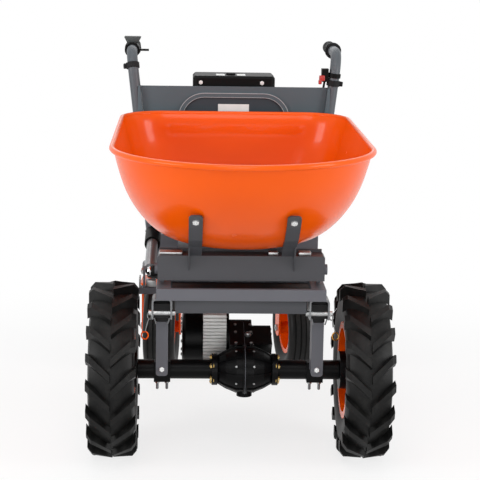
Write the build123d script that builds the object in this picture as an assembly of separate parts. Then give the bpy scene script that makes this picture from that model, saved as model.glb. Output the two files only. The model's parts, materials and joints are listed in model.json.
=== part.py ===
from build123d import *
import math
import os

os.makedirs("parts", exist_ok=True)

# The front of the barrow faces -Y, +X is to the right of someone looking at its front.
# Lengths are millimetres, y places count from the front axle and z places from the ground.

# Fits
seat_gap = 0.25
running_gap = 0.05
weld_gap = 0.3

# Front wheels
tyre_radius = 205.0
tyre_width = 111.0
carcass_radius = 190.0
carcass_width = 104.0
tyre_shoulder_drop = 14.0
shoulder_share = 0.9
half_track = 289.0
rim_seat_radius = 101.5
rim_flange_height = 11.5
rim_width = 92.0
rim_plate = 4.0
disc_plate = 6.0
disc_offset = 8.0
disc_hole_radius = 12.0
disc_hole_circle = 72.0
disc_holes = 6
hub_radius = 44.0
hub_bore = 7.5
hub_gap = 1.0
half_shaft_radius = 15.0
half_shaft_depth = 70.0
hub_cap_radius = 26.0
hub_cap_length = 20.0
lugs_a_side = 18
tyre_lip_rise = 2.0
lug_half_foot = 13.0
lug_half_top = 8.5
# Each section of a lug from the middle of the tread to the sidewall: its place across the tyre, the radius of its
# foot and of its top, and how far it trails round the tyre.
lug_sections = [(1.0, 184.0, tyre_radius, 0.0), (45.0, 176.0, 201.0, 42.0), (tyre_width / 2, 164.0, 189.0, 50.0)]

# Driven axle, differential and motor
axle_z = tyre_radius
axle_tube_radius = 22.5
axle_pad_half = 19.0
axle_pad_reach = 24.0
differential_x = 14.5
differential_half_length = 63.5
# Each ring of the differential's bowl on one side: its distance from the middle and its radius.
bowl_rings = [(differential_half_length, 31.0), (44.0, 43.0), (20.0, 53.0)]
bowl_ribs = 8
bowl_rib_plate = 5.0
bowl_rib_height = 3.0
axle_flange_radius = 37.0
axle_flange_plate = 13.0
seam_radius = 58.0
seam_plate = 9.0
drain_boss_radius = 18.0
drain_boss_depth = 5.0
motor_y = 120.0
motor_z = 251.0
motor_radius = 65.0
motor_core_radius = 58.0
motor_fin_plate = 4.5
motor_fins = 40
motor_end_radius = 62.0
motor_end_round = 10.0
motor_places = {"far_end": -132.0, "fins": -82.0, "adaptor": -27.0, "gearbox": -20.0}
# Each slab of the gear case: where it starts and ends, its radius round the motor's axis and round the axle.
gear_slabs = [(motor_places["gearbox"], 34.0, 41.0, 56.0), (34.0, 80.0, 27.0, 48.0)]

# Legs that hang the axle under the frame
wheel_gap = 43.5
crossmember_half = half_track - tyre_width / 2 - wheel_gap
leg_inset = 13.0
leg_x = crossmember_half - leg_inset
leg_width = 27.0
leg_wall = 4.0
leg_front = -74.0
leg_back = -26.0
leg_bottom = 210.0
leg_top = 352.0
leg_corner = 7.0
clevis_width = 46.0
clevis_wall = 4.0
clevis_corner = 9.0
clevis_front = -104.0
clevis_back = -52.0
clevis_height = 47.0
clevis_pin_y = -94.0
clevis_pin_drop = 34.0
clevis_pin_radius = 6.0
clevis_pin_stick_out = 7.0
bush_setback = 8.0

# Chassis
crossmember_front = -120.0
crossmember_back = -24.0
crossmember_bottom = 398.0
crossmember_top = 425.0
slot_end_margin = 33.0
slot_edge_margin = 12.0
lower_member_gap = 30.0
lower_member_half = leg_x - lower_member_gap
lower_member_front = -106.0
tube_wall = 3.0
rail_inset = 60.0
rail_x = crossmember_half - rail_inset
rail_width = 30.0
rail_bottom = 366.0
rail_top = 395.0
platform_half = 232.0
platform_front = 585.0
platform_back = 678.0
platform_top = 406.0
actuator_outset = 19.5
actuator_x = -crossmember_half - actuator_outset
anchor_outset = 16.5
cross_bar_y = 150.0
cross_bar_depth = 24.0
cross_bar_height = 16.0
cross_bar_left = actuator_x - anchor_outset
cross_bar_overhang = 10.0

# Tipping hinge and cradle
pivot_y = -75.0
pivot_z = 462.0
pivot_radius = 7.0
pivot_head_radius = 12.0
pivot_head = 7.0
bracket_plate = 8.0
bracket_post = 24.0
bracket_crown = 12.0
cradle_inset = 3.0
cradle_half = crossmember_half - cradle_inset
cradle_plate = 4.0
cradle_front = -96.0
cradle_bottom = 439.0
cradle_top = 496.0
cradle_flange_back = -44.0
cradle_corner = 3.6
cradle_gap = 1.5
upstand_gap = 3.0
cradle_rail_x = 75.0
cradle_rail_width = 40.0
cradle_rail_height = 30.0
cradle_rail_back = 515.0
cradle_tie_depth = 30.0
cradle_tie_height = 18.0

# Tub
tub_wall = 3.0
tub_bottom = 506.0
tub_rim_z = 735.0
tub_lip = 3.0
tub_bead_radius = 6.5
strap_top = 622.0
# Each section of the tub: its height, half width, nose, back and the radius of its rear corners. The nose is half round.
tub_sections = [
    (tub_bottom, 105.0, -50.0, 450.0, 60.0),
    (512.0, 140.0, -102.0, 478.0, 72.0),
    (526.0, 174.0, -150.0, 496.0, 82.0),
    (553.0, 207.0, -206.0, 515.0, 92.0),
    (593.0, 238.0, -258.0, 530.0, 100.0),
    (strap_top, 254.0, -286.0, 538.0, 103.0),
    (680.0, 274.0, -329.0, 550.0, 107.0),
    (tub_rim_z, 286.0, -356.0, 560.0, 110.0),
]
tub_front = tub_sections[-1][2]
strap_x = 104.0
strap_width = 30.0
strap_plate = 4.0
strap_corner = 10.0
strap_gap = 3.8
strap_sections = tub_sections[2:6]
gusset_plate = 3.0
gusset_bottom = 462.0

# Tipping actuator
eye_y = cross_bar_y
eye_z = 404.0
eye_radius = 11.0
tail_y = 500.0
tail_z = 431.0
tail_pin_radius = 6.0
barrel_radius = 14.0
barrel_start = 16.0
rod_radius = 8.0
rod_length = 280.0
bore_depth = 285.0
housing_start = 232.0
housing_end = 332.0
housing_radius = 20.0
anchor_plate = 5.0

# Casters
caster_radius = 125.0
caster_width = 88.0
caster_trail = 45.0
caster_x = 192.0
caster_y = 640.0
caster_turn = {"left": -4.0, "right": 9.0}
caster_seat_radius = 64.0
caster_flange_height = 8.0
caster_shoulder_drop = 7.5
caster_hub_gap = 1.0
caster_hub_radius = 16.0
caster_rim_width = 66.0
fork_clearance = 5.0
fork_plate = 5.0
fork_width = 46.0
fork_crown_gap = 10.0
bearing_radius = 34.0
bearing_height = 40.0
mount_plate = 8.0
mount_z = 2 * caster_radius + fork_crown_gap + bearing_height
mount_half = 50.0
pedestal_half = 34.0
stem_radius = 10.0
caster_axle_radius = 8.0

# Handles, rear panel, battery and controls
handle_y = 600.0
handle_radius = 14.0
handle_wall = 2.0
handle_foot_x = 214.0
handle_foot_z = 386.0
handle_top_x = 271.0
handle_top_z = 891.0
handle_bend = 55.0
handle_end = 838.0
grip_start = 715.0
grip_radius = 17.5
grip_flange_radius = 22.0
grip_flange = 10.0
grip_cap = 6.0
grip_vent_radius = 4.7
panel_plate = 4.0
panel_bottom = 430.0
panel_top = 803.0
arch_half = 148.0
arch_bottom = 640.0
arch_top = 786.0
arch_corner = 70.0
arch_rib = 12.0
arch_height = 6.0
battery_half = 109.0
battery_depth = 120.0
battery_bottom = 566.0
battery_split = 806.0
battery_top = 829.0
lid_chamfer = 5.75
battery_corner = 14.0
tray_plate = 5.0
tray_margin = 8.0
tray_lip = 24.0
display_to_grip = 15.0
display_y = grip_start - display_to_grip
display_depth = 26.0
display_width = 45.0
display_neck = 30.0
display_plate = 13.0
display_rise = 35.0
display_top = handle_top_z + display_rise
control_ring_wall = 6.0
throttle_to_grip = 44.0
throttle_y = grip_start - throttle_to_grip
throttle_reach = 44.0
throttle_depth = 13.0
throttle_plate = 5.0
switch_drop = 55.0
switch_z = handle_top_z - switch_drop
switch_width = 18.0
switch_depth = 24.0
switch_height = 34.0
rocker_height = 12.0
rocker_margin = 3.0
cable_radius = 3.0
cable_bend = 24.0
cable_side = 45.0
cable_drop = 96.0
cable_lean = 10.0
cable_run = 34.0

# The origin lies on the ground under the middle of the whole length.
front_reach = -tub_front + tub_lip + tub_bead_radius
rear_reach = handle_end + grip_cap
axle_y = (front_reach - rear_reach) / 2


def save(node, *solids):
    """Write one node, moved from the axle's frame to the barrow's own frame."""
    placed = [Pos(0, axle_y, 0) * solid for solid in solids]
    shape = placed[0] if len(placed) == 1 else Compound(children=placed)
    export_step(shape, f"parts/{node}.step")


def block(x, y, z):
    """Box between three pairs of limits."""
    middle = Pos((x[0] + x[1]) / 2, (y[0] + y[1]) / 2, (z[0] + z[1]) / 2)
    return middle * Box(x[1] - x[0], y[1] - y[0], z[1] - z[0])


def bar_x(radius, x, y, z):
    """Round bar along X between two limits."""
    return Pos((x[0] + x[1]) / 2, y, z) * Rot(0, 90, 0) * Cylinder(radius, x[1] - x[0])


def post(radius, x, y, z):
    """Upright round bar between two heights."""
    return Pos(x, y, (z[0] + z[1]) / 2) * Cylinder(radius, z[1] - z[0])


def ring(outer, inner, start, end):
    """Ring about the local Z axis between two places."""
    middle = Pos(0, 0, (start + end) / 2)
    return middle * (Cylinder(outer, end - start) - Cylinder(inner, end - start))


def box_tube(x, y, z, along):
    """Rectangular tube with open ends along X or Y."""
    trim = {"X": (0, tube_wall, tube_wall), "Y": (tube_wall, 0, tube_wall)}[along]
    inside = [(pair[0] + cut, pair[1] - cut) for pair, cut in zip((x, y, z), trim)]
    return block(x, y, z) - block(*inside)


def mirrored(shape):
    """The same piece on the other side of the barrow."""
    return mirror(shape, about=Plane.YZ)


def on_axle(shape, place):
    """Turn a shape built about Z to a wheel's axle along X, the outside to the right."""
    return place * Rot(0, 90, 0) * shape


# Front wheels, built about Z with the outside upwards
def rim(seat, flange, width, plate):
    """Rolled rim with a flange at each edge."""
    half = width / 2
    barrel = ring(seat, seat - plate, -half, half)
    inner_flange = ring(seat + flange, seat - plate, -half, plate - half)
    outer_flange = ring(seat + flange, seat - plate, half - plate, half)
    return barrel + inner_flange + outer_flange


def tyre(radius, width, drop, seat, flange, rim_inside):
    """Inflated tyre that fills the space between the flanges of its rim."""
    bead = seat + seat_gap
    half_bead = rim_inside / 2 - seat_gap
    lip = seat + flange + tyre_lip_rise
    belly = (lip + radius - drop) / 2
    half = width / 2
    shoulder = half * shoulder_share
    profile = [
        Line((bead, -half_bead), (lip, -half_bead)),
        ThreePointArc((lip, -half_bead), (belly, -half), (radius - drop, -shoulder)),
        ThreePointArc((radius - drop, -shoulder), (radius, 0), (radius - drop, shoulder)),
        ThreePointArc((radius - drop, shoulder), (belly, half), (lip, half_bead)),
        Line((lip, half_bead), (bead, half_bead)),
        Line((bead, half_bead), (bead, -half_bead)),
    ]
    section = Plane.XZ * make_face(profile)
    return revolve(section, Axis.Z)


def lug_section(across, foot, top, trail):
    """One section of a lug, in a plane at right angles to the axle."""
    start = -trail / tyre_radius
    corners = [(foot, start - lug_half_foot / foot), (top, start - lug_half_top / top),
               (top, start + lug_half_top / top), (foot, start + lug_half_foot / foot)]
    points = [(radius * math.cos(turn), radius * math.sin(turn)) for radius, turn in corners]
    return Pos(0, 0, across) * make_face(Polyline(*points, close=True))


wheel_rim = rim(rim_seat_radius, rim_flange_height, rim_width, rim_plate)
wheel_rim += ring(rim_seat_radius - rim_plate / 2, half_shaft_radius, disc_offset, disc_offset + disc_plate)
for spot in PolarLocations(disc_hole_circle, disc_holes):
    wheel_rim -= Pos(0, 0, disc_offset) * spot * Cylinder(disc_hole_radius, 4 * disc_plate)
carcass = tyre(carcass_radius, carcass_width, tyre_shoulder_drop, rim_seat_radius, rim_flange_height,
               rim_width - 2 * rim_plate)
lug = loft([lug_section(*section) for section in lug_sections], ruled=True)
other_lug = Rot(0, 0, 180 / lugs_a_side) * mirror(lug, about=Plane.XY)
lugs = [spot * half_lug for spot in PolarLocations(0, lugs_a_side) for half_lug in (lug, other_lug)]
wheel_tyre = carcass + lugs
hub_start = -tyre_width / 2 + hub_gap
hub_cap_start = disc_offset + disc_plate
wheel_hub = ring(hub_radius, hub_bore, hub_start, disc_offset)
wheel_hub += Pos(0, 0, (hub_start - half_shaft_depth + hub_cap_start) / 2) * Cylinder(
    half_shaft_radius, hub_cap_start - hub_start + half_shaft_depth)
wheel_hub += Pos(0, 0, hub_cap_start + hub_cap_length / 2) * Cylinder(hub_cap_radius, hub_cap_length)
wheel_place = Pos(half_track, 0, axle_z)
for piece, shape in (("tyre", wheel_tyre), ("rim", wheel_rim), ("hub", wheel_hub)):
    right_piece = on_axle(shape, wheel_place)
    save(f"front_right_{piece}", right_piece)
    save(f"front_left_{piece}", mirrored(right_piece))

# Differential, axle tubes and gearbox
left_flange = differential_x - differential_half_length - axle_flange_plate
right_flange = differential_x + differential_half_length + axle_flange_plate
bowl_line = [(-place, radius) for place, radius in bowl_rings] + bowl_rings[::-1]
bowl_outline = Polyline((-differential_half_length, 0), *bowl_line, (differential_half_length, 0), close=True)
differential = revolve(make_face(bowl_outline), Axis.X)
rib_line = [(place, radius + bowl_rib_height) for place, radius in bowl_line]
rib_outline = Polyline((-differential_half_length, 0), *rib_line, (differential_half_length, 0), close=True)
rib = Pos(0, 0, -bowl_rib_plate / 2) * extrude(make_face(rib_outline), bowl_rib_plate)
differential += [Rot(360 * number / bowl_ribs, 0, 0) * rib for number in range(bowl_ribs)]
differential = Pos(differential_x, 0, axle_z) * differential
differential += bar_x(seam_radius, (differential_x - seam_plate / 2, differential_x + seam_plate / 2), 0, axle_z)
boss_bottom = axle_z - seam_radius - drain_boss_depth
differential += post(drain_boss_radius, differential_x, 0, (boss_bottom, axle_z))
differential += bar_x(axle_flange_radius, (left_flange, left_flange + axle_flange_plate), 0, axle_z)
differential += bar_x(axle_flange_radius, (right_flange - axle_flange_plate, right_flange), 0, axle_z)
save("differential_housing", differential)

axle_tube_end = half_track - tyre_width / 2
axle_tube = bar_x(axle_tube_radius, (right_flange, axle_tube_end), 0, axle_z)
axle_tube += block((leg_x - axle_pad_half, leg_x + axle_pad_half), (leg_back, 0),
                   (axle_z - axle_pad_reach, axle_z + axle_pad_reach))
left_tube = mirrored(axle_tube) + bar_x(axle_tube_radius, (-right_flange, left_flange), 0, axle_z)
shaft_room = bar_x(half_shaft_radius + running_gap, (-half_track, half_track), 0, axle_z)
save("axle_tube_right", axle_tube - shaft_room)
save("axle_tube_left", left_tube - shaft_room)


def gear_slab(start, end, motor_side, axle_side):
    """Slab of the gear case that wraps the motor's axis and the axle."""
    circles = (Pos(motor_y, motor_z) * Circle(motor_side)).edges() + (Pos(0, axle_z) * Circle(axle_side)).edges()
    plane = Plane(origin=(start, 0, 0), x_dir=(0, 1, 0), z_dir=(1, 0, 0))
    return plane * extrude(make_hull(circles), end - start)


gear_case = Part() + [gear_slab(*slab) for slab in gear_slabs]
bowl_room = bar_x(seam_radius + weld_gap, (gear_slabs[0][0], gear_slabs[-1][1]), 0, axle_z)
save("gearbox", gear_case - bowl_room)

# Motor, its fins run along its axis
fin_length = motor_places["adaptor"] - motor_places["fins"]
motor_profile = Circle(motor_core_radius)
for spot in PolarLocations(0, motor_fins):
    motor_profile += spot * Pos(motor_radius / 2, 0) * Rectangle(motor_radius, motor_fin_plate)
motor_body = Pos(motor_places["fins"], motor_y, motor_z) * Rot(0, 90, 0) * extrude(motor_profile, fin_length)
save("motor_body", motor_body)
far_end = bar_x(motor_end_radius, (motor_places["far_end"], motor_places["fins"]), motor_y, motor_z)
far_edges = far_end.edges().group_by(Axis.X)[0]
far_end = fillet(far_edges, motor_end_round)
adaptor = bar_x(motor_end_radius, (motor_places["adaptor"], motor_places["gearbox"]), motor_y, motor_z)
save("motor_ends", far_end, adaptor)

# Legs, clevises, bushes and pins that carry the axle
leg_half = leg_width / 2
leg = block((leg_x - leg_half, leg_x + leg_half), (leg_front, leg_back), (leg_bottom, leg_top))
leg = fillet(leg.edges().filter_by(Axis.Y).group_by(Axis.Z)[0], leg_corner)
leg -= block((leg_x - leg_half + leg_wall, leg_x + leg_half - leg_wall), (leg_front + leg_wall, leg_back),
             (axle_z + axle_pad_reach, leg_top - leg_wall))
clevis_x = (leg_x - clevis_width / 2, leg_x + clevis_width / 2)
clevis_inside = (clevis_x[0] + clevis_wall, clevis_x[1] - clevis_wall)
clevis_bottom = crossmember_bottom - clevis_height
clevis_pin_z = crossmember_bottom - clevis_pin_drop
clevis = block(clevis_x, (clevis_front, clevis_back), (clevis_bottom, crossmember_bottom))
clevis = fillet(clevis.edges().filter_by(Axis.Y).group_by(Axis.Z)[-1], clevis_corner)
clevis_room = block(clevis_inside, (clevis_front, clevis_back), (clevis_bottom, crossmember_bottom - clevis_wall))
clevis -= fillet(clevis_room.edges().filter_by(Axis.Y).group_by(Axis.Z)[-1], clevis_corner - clevis_wall)
pin_x = (clevis_x[0] - clevis_pin_stick_out, clevis_x[1] + clevis_pin_stick_out)
clevis_pin = bar_x(clevis_pin_radius, pin_x, clevis_pin_y, clevis_pin_z)
pin_hole = bar_x(clevis_pin_radius + running_gap, pin_x, clevis_pin_y, clevis_pin_z)
bush_top = crossmember_bottom - clevis_wall - clevis_corner
bush = block((clevis_inside[0] + seat_gap, clevis_inside[1] - seat_gap),
             (clevis_front + bush_setback, clevis_back - clevis_wall), (leg_top, bush_top))
for side, turn in (("left", mirrored), ("right", lambda shape: shape)):
    save(f"axle_leg_{side}", turn(leg))
    save(f"clevis_{side}", turn(clevis - pin_hole))
save("clevis_bushes", mirrored(bush - pin_hole), bush - pin_hole)
save("clevis_pins", mirrored(clevis_pin), clevis_pin)

# Chassis
crossmember = box_tube((-crossmember_half, crossmember_half), (crossmember_front, crossmember_back),
                       (crossmember_bottom, crossmember_top), "X")
slot_half = crossmember_half - slot_end_margin
crossmember -= block((-slot_half, slot_half), (crossmember_front + slot_edge_margin, crossmember_back - slot_edge_margin),
                     (crossmember_top - tube_wall, crossmember_top))
lower_member = box_tube((-lower_member_half, lower_member_half), (lower_member_front, crossmember_back),
                        (rail_bottom, crossmember_bottom), "X")
bracket_outer = cradle_half - cradle_plate - cradle_gap
bracket_inner = bracket_outer - bracket_plate
bracket_x = (bracket_inner, bracket_outer)
bracket = block(bracket_x, (crossmember_back - bracket_post, crossmember_back), (crossmember_top, pivot_z))
bracket += block(bracket_x, (pivot_y, crossmember_back), (pivot_z - bracket_crown, pivot_z + bracket_crown))
bracket += bar_x(bracket_crown, bracket_x, pivot_y, pivot_z)
pivot_hole = bar_x(pivot_radius + running_gap, (bracket_inner - pivot_head, cradle_half), pivot_y, pivot_z)
bracket -= pivot_hole
save("front_crossmember", crossmember + lower_member)
save("pivot_brackets", mirrored(bracket), bracket)
pivot_pin = bar_x(pivot_radius, (bracket_inner - pivot_head, cradle_half), pivot_y, pivot_z)
pivot_pin += bar_x(pivot_head_radius, (cradle_half, cradle_half + pivot_head), pivot_y, pivot_z)
pivot_pin += bar_x(pivot_head_radius, (bracket_inner - pivot_head, bracket_inner), pivot_y, pivot_z)
save("pivot_pins", mirrored(pivot_pin), pivot_pin)

rail = box_tube((rail_x - rail_width / 2, rail_x + rail_width / 2), (crossmember_back, platform_front),
                (rail_bottom, rail_top), "Y")
save("frame_rail_left", mirrored(rail))
save("frame_rail_right", rail)
platform = box_tube((-platform_half, platform_half), (platform_front, platform_back),
                    (rail_bottom, platform_top), "X")
save("rear_platform", platform)

bar_y = (cross_bar_y - cross_bar_depth / 2, cross_bar_y + cross_bar_depth / 2)
cross_bar = block((cross_bar_left - cross_bar_overhang, rail_x + rail_width / 2), bar_y,
                  (rail_bottom - cross_bar_height, rail_bottom))
anchor_y = (eye_y - cross_bar_depth / 2, eye_y + cross_bar_depth / 2)
cross_bar += block((cross_bar_left, cross_bar_left + anchor_plate), anchor_y, (rail_bottom, eye_z))
cross_bar += bar_x(cross_bar_depth / 2, (cross_bar_left, cross_bar_left + anchor_plate), eye_y, eye_z)
save("cross_bar", cross_bar)

# Tipping cradle
cradle_x = (-cradle_half, cradle_half)
panel_front = block(cradle_x, (cradle_front, cradle_front + cradle_plate), (cradle_bottom, cradle_top))
top_flange = block(cradle_x, (cradle_front, cradle_flange_back), (cradle_top - cradle_plate, cradle_top))
side_flange = block((cradle_half - cradle_plate, cradle_half), (cradle_front, cradle_flange_back),
                    (cradle_bottom, cradle_top))
cradle = panel_front + top_flange + side_flange + mirrored(side_flange)
cradle_corners = cradle.edges().filter_by(Axis.Y).group_by(Axis.Z)[-1]
cradle = chamfer(cradle_corners.sort_by(Axis.X)[0::len(cradle_corners) - 1], cradle_corner)
cradle += block((cradle_x[0] + cradle_corner, cradle_x[1] - cradle_corner),
                (cradle_flange_back - cradle_plate, cradle_flange_back), (cradle_top, tub_bottom - upstand_gap))
cradle_hole = bar_x(pivot_radius + running_gap, cradle_x, pivot_y, pivot_z)
save("cradle_panel", cradle - cradle_hole)

rail_half = cradle_rail_width / 2
rail_z = (tub_bottom - cradle_rail_height, tub_bottom)
rail_y = (cradle_front + cradle_plate, cradle_rail_back)
cradle_rail = block((cradle_rail_x - rail_half, cradle_rail_x + rail_half), rail_y, rail_z)
cradle_rail -= block((cradle_rail_x - rail_half + tube_wall, cradle_rail_x + rail_half - tube_wall), rail_y,
                     (rail_z[0], rail_z[1] - tube_wall))
cradle_rail -= block(cradle_x, (cradle_front, cradle_flange_back), (cradle_top - cradle_plate, rail_z[1]))
tie_y = (cradle_rail_back - cradle_tie_depth, cradle_rail_back)
tie_z = (rail_z[0] - cradle_tie_height, rail_z[0])
tie = block((cross_bar_left, cradle_rail_x + rail_half), tie_y, tie_z)
tail_plate = block((cross_bar_left, cross_bar_left + anchor_plate), tie_y, (tail_z, tie_z[0]))
tail_plate += bar_x(cradle_tie_depth / 2, (cross_bar_left, cross_bar_left + anchor_plate), tail_y, tail_z)
tail_pin = bar_x(tail_pin_radius, (cross_bar_left, actuator_x + eye_radius), tail_y, tail_z)
save("cradle_rails", mirrored(cradle_rail) + cradle_rail + tie + tail_plate + tail_pin)


# Tub
def tub_plan(half, nose, back, corner, grow):
    """Plan of the tub with a half-round nose and rounded rear corners, grown outwards or inwards."""
    half, nose, back, corner = half + grow, nose - grow, back + grow, corner + grow
    turn = nose + half
    cut = corner * (1 - math.sqrt(0.5))
    edges = [
        ThreePointArc((-half, turn), (0, nose), (half, turn)),
        Line((half, turn), (half, back - corner)),
        ThreePointArc((half, back - corner), (half - cut, back - cut), (half - corner, back)),
        Line((half - corner, back), (corner - half, back)),
        ThreePointArc((corner - half, back), (cut - half, back - cut), (-half, back - corner)),
        Line((-half, back - corner), (-half, turn)),
    ]
    return make_face(edges)


tub_steps = len(tub_sections) - 1
outer_plans, inner_plans = [], []
for number, (z, *measures) in enumerate(tub_sections):
    floor_rise = tub_wall * (tub_steps - number) / tub_steps
    outer_plans.append(Pos(0, 0, z) * tub_plan(*measures, 0))
    inner_plans.append(Pos(0, 0, z + floor_rise) * tub_plan(*measures, -tub_wall))
rim_edge = (Pos(0, 0, tub_rim_z) * tub_plan(*tub_sections[-1][1:], tub_lip)).wire()
bead = sweep(Plane(origin=rim_edge @ 0, z_dir=rim_edge % 0) * Circle(tub_bead_radius), path=rim_edge)
save("tub", loft(outer_plans) - loft(inner_plans) + bead)

# Straps from the cradle up along the tub's nose
strap_outer = strap_x + strap_width / 2
strap_inner = strap_x - strap_width / 2
strap_step = strap_plate / math.sqrt(2)
wall_line = [(nose + half - math.sqrt(half ** 2 - strap_inner ** 2) - strap_gap, z)
             for z, half, nose, back, corner in strap_sections]
outer_line = [(y - strap_step, z - strap_step) for y, z in wall_line]
side_plane = Plane(origin=(strap_outer, 0, 0), x_dir=(0, 1, 0), z_dir=(1, 0, 0))
strap_side = Polyline((cradle_front, cradle_top), *outer_line, *wall_line[::-1],
                      (cradle_front + strap_plate, cradle_top), close=True)
strap = side_plane * extrude(make_face(strap_side), -strap_width)
strap_tip = strap.edges().filter_by(lambda edge: edge.length < 1.1 * strap_plate).group_by(Axis.Z)[-1]
strap = fillet(strap_tip, strap_corner)
gusset_side = Polyline((cradle_front, gusset_bottom), (cradle_front, cradle_top), outer_line[0], close=True)
strap += side_plane * extrude(make_face(gusset_side), -gusset_plate)
save("tub_straps", mirrored(strap), strap)

# Tipping actuator, built along its own line from the rod's eye to the tail pin
actuator_line = Plane(origin=(actuator_x, eye_y, eye_z), x_dir=(1, 0, 0), z_dir=(0, tail_y - eye_y, tail_z - eye_z))
actuator_length = math.hypot(tail_y - eye_y, tail_z - eye_z)


def along(radius, start, end):
    """Round bar on the actuator's own line."""
    return Pos(0, 0, (start + end) / 2) * Cylinder(radius, end - start)


rod = along(rod_radius, 0, rod_length) + Sphere(eye_radius)
rod_bore = along(rod_radius + running_gap, 0, bore_depth)
save("actuator_rod", actuator_line * rod)
save("actuator_barrel", actuator_line * (along(barrel_radius, barrel_start, housing_start) - rod_bore))
housing = along(housing_radius, housing_start, housing_end)
housing += Pos(0, 0, (housing_end + actuator_length) / 2) * Box(
    2 * eye_radius, 2 * eye_radius, actuator_length - housing_end)
housing += Pos(0, 0, actuator_length) * Rot(0, 90, 0) * Cylinder(eye_radius, 2 * eye_radius)
housing -= rod_bore
housing -= Pos(0, 0, actuator_length) * Rot(0, 90, 0) * Cylinder(tail_pin_radius + running_gap, 4 * eye_radius)
save("actuator_housing", actuator_line * housing)

# Casters, built about the swivel axis with the wheel trailing along +Y
caster_rim = rim(caster_seat_radius, caster_flange_height, caster_rim_width, rim_plate)
caster_rim += ring(caster_seat_radius - rim_plate / 2, caster_axle_radius + running_gap, -disc_plate / 2, disc_plate / 2)
caster_hub_half = caster_width / 2 + fork_clearance - caster_hub_gap
caster_rim += ring(caster_hub_radius, caster_axle_radius + running_gap, -caster_hub_half, caster_hub_half)
caster_tyre = tyre(caster_radius, caster_width, caster_shoulder_drop, caster_seat_radius, caster_flange_height,
                   caster_rim_width - 2 * rim_plate)
fork_inside = caster_width / 2 + fork_clearance
fork_outside = fork_inside + fork_plate
crown_bottom = 2 * caster_radius + fork_crown_gap
cheek = block((fork_inside, fork_outside), (caster_trail - fork_width / 2, caster_trail + fork_width / 2),
              (caster_radius, crown_bottom))
cheek += bar_x(fork_width / 2, (fork_inside, fork_outside), caster_trail, caster_radius)
crown = block((-fork_outside, fork_outside), (-bearing_radius, caster_trail + fork_width / 2),
              (crown_bottom, crown_bottom + fork_plate))
bearing = post(bearing_radius, 0, 0, (crown_bottom, mount_z - weld_gap))
stem = post(stem_radius, 0, 0, (crown_bottom, mount_z + mount_plate))
fork_axle = bar_x(caster_axle_radius, (-fork_outside, fork_outside), caster_trail, caster_radius)
fork = cheek + mirrored(cheek) + crown + bearing + stem + fork_axle
mount = block((-mount_half, mount_half), (-mount_half, mount_half), (mount_z, mount_z + mount_plate))
mount += block((-pedestal_half, pedestal_half), (-pedestal_half, pedestal_half), (mount_z, rail_bottom))
mount -= post(stem_radius + running_gap, 0, 0, (mount_z, mount_z + 2 * mount_plate))
for side, sign in (("left", -1), ("right", 1)):
    swivel = Pos(sign * caster_x, caster_y, 0) * Rot(0, 0, caster_turn[side])
    wheel_place = swivel * Pos(0, caster_trail, caster_radius)
    save(f"caster_{side}_tyre", on_axle(caster_tyre, wheel_place))
    save(f"caster_{side}_rim", on_axle(caster_rim, wheel_place))
    save(f"caster_{side}_fork", swivel * fork)
    save(f"caster_{side}_mount", Pos(sign * caster_x, caster_y, 0) * mount)

# Handles
handle_lean = (handle_top_x - handle_foot_x) / (handle_top_z - handle_foot_z)


def handle_x(z):
    """Centre of the leaning handle tube at one height."""
    return handle_foot_x + (z - handle_foot_z) * handle_lean


handle_route = [(handle_x(rail_bottom), handle_y, rail_bottom), (handle_top_x, handle_y, handle_top_z),
                (handle_top_x, handle_end, handle_top_z)]
handle_path = FilletPolyline(*handle_route, radius=handle_bend)
handle_section = Plane(origin=handle_path @ 0, z_dir=handle_path % 0)
handle_solid = sweep(handle_section * Circle(handle_radius), path=handle_path)
handle_hollow = sweep(handle_section * Circle(handle_radius - handle_wall), path=handle_path)
below_platform = block((0, 2 * handle_top_x), (0, 2 * handle_y), (0, platform_top))
handle = handle_solid - handle_hollow - below_platform
save("handle_left", mirrored(handle))
save("handle_right", handle)

bore = handle_radius + seat_gap
grip = Pos(handle_top_x, handle_end, handle_top_z) * Rot(90, 0, 0) * (
    ring(grip_radius, bore, 0, handle_end - grip_start)
    + ring(grip_flange_radius, bore, handle_end - grip_start - grip_flange, handle_end - grip_start)
    + ring(grip_radius, grip_vent_radius, -grip_cap, 0))
save("grip_left", mirrored(grip))
save("grip_right", grip)

# Rear panel with its raised arch
panel_edges = [(handle_x(z) - handle_radius - weld_gap, z) for z in (panel_bottom, panel_top)]
panel_outline = Polyline((-panel_edges[0][0], panel_bottom), panel_edges[0], panel_edges[1],
                         (-panel_edges[1][0], panel_top), close=True)
panel_plane = Plane(origin=(0, handle_y + panel_plate / 2, 0), x_dir=(1, 0, 0), z_dir=(0, -1, 0))
arch_middle = Pos(0, (arch_bottom + arch_top) / 2)
arch = arch_middle * RectangleRounded(2 * arch_half, arch_top - arch_bottom, arch_corner)
arch -= arch_middle * RectangleRounded(2 * (arch_half - arch_rib), arch_top - arch_bottom - 2 * arch_rib,
                                       arch_corner - arch_rib)
rear_panel = panel_plane * extrude(make_face(panel_outline), panel_plate)
rear_panel += panel_plane * extrude(arch, panel_plate + arch_height)
save("rear_panel", rear_panel)

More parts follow.
